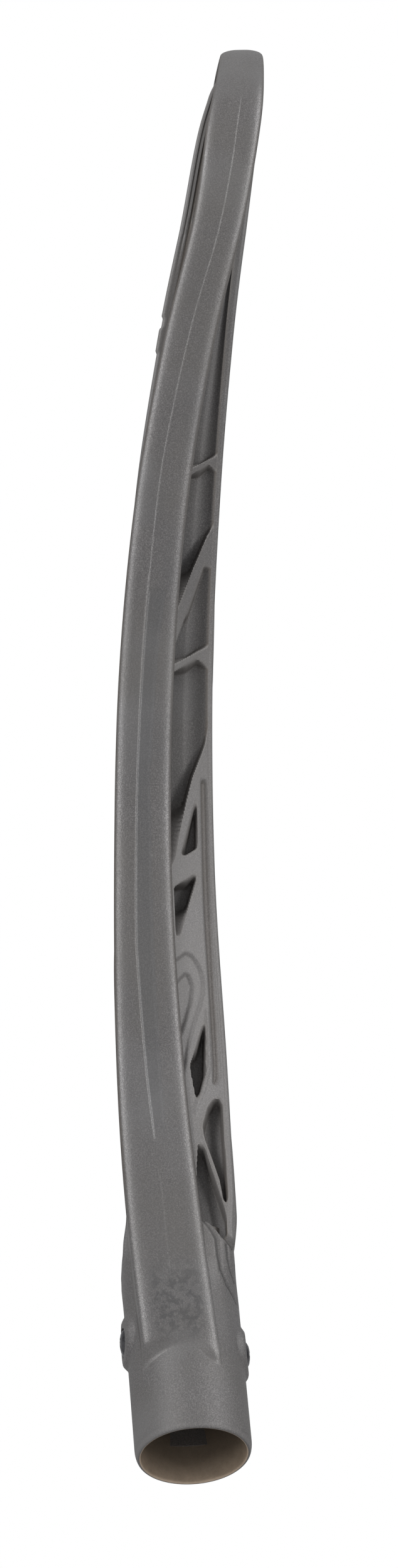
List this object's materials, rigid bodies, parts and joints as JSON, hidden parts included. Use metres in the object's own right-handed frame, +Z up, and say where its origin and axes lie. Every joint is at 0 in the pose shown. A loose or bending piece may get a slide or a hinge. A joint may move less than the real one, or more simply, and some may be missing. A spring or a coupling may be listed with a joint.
{
  "type": "goalkeeper lacrosse stick head",
  "caption": "Unstrung goalkeeper's lacrosse head: moulded teardrop frame with an H-section side wall, trussed channel, string holes, a round shaft socket and two screws.",
  "frame": {"origin": "centre of the shaft socket's mouth, in the plane of its end face", "axes": "+Z up the socket's axis towards the scoop; +Y towards the open face that the ball enters by; X across the head, which is its plane of symmetry's normal"},
  "size_m": [0.3006, 0.0667, 0.468],
  "materials": {
    "nylon": "satin grey moulded nylon with a fine pearl grain",
    "screw_steel": "bright zinc-plated steel"
  },
  "bodies": {
    "head": {"shaft_socket": "nylon", "throat_collar": "nylon", "ball_stop": "nylon", "throat_cheek_right": "nylon", "throat_cheek_left": "nylon", "outer_band_right": "nylon", "outer_band_left": "nylon", "outer_band_scoop": "nylon", "channel_web_right": "nylon", "channel_web_left": "nylon", "channel_web_scoop": "nylon", "inner_wall_right": "nylon", "inner_wall_left": "nylon", "inner_wall_scoop": "nylon", "front_rim_right": "nylon", "front_rim_left": "nylon", "front_rim_scoop": "nylon", "string_rail_right": "nylon", "string_rail_left": "nylon", "string_rail_scoop": "nylon", "upper_struts_right": "nylon", "upper_struts_left": "nylon", "truss_plate_right": "nylon", "truss_plate_left": "nylon"},
    "front_screw": {"screw_front": "screw_steel"},
    "back_screw": {"screw_back": "screw_steel"}
  },
  "joints": [
    {"name": "front_screw_out", "type": "slide", "parent": "head", "child": "front_screw", "axis": [0, 1, 0], "range_m": [0, 0.012]},
    {"name": "back_screw_out", "type": "slide", "parent": "head", "child": "back_screw", "axis": [0, -1, 0], "range_m": [0, 0.012]}
  ]
}
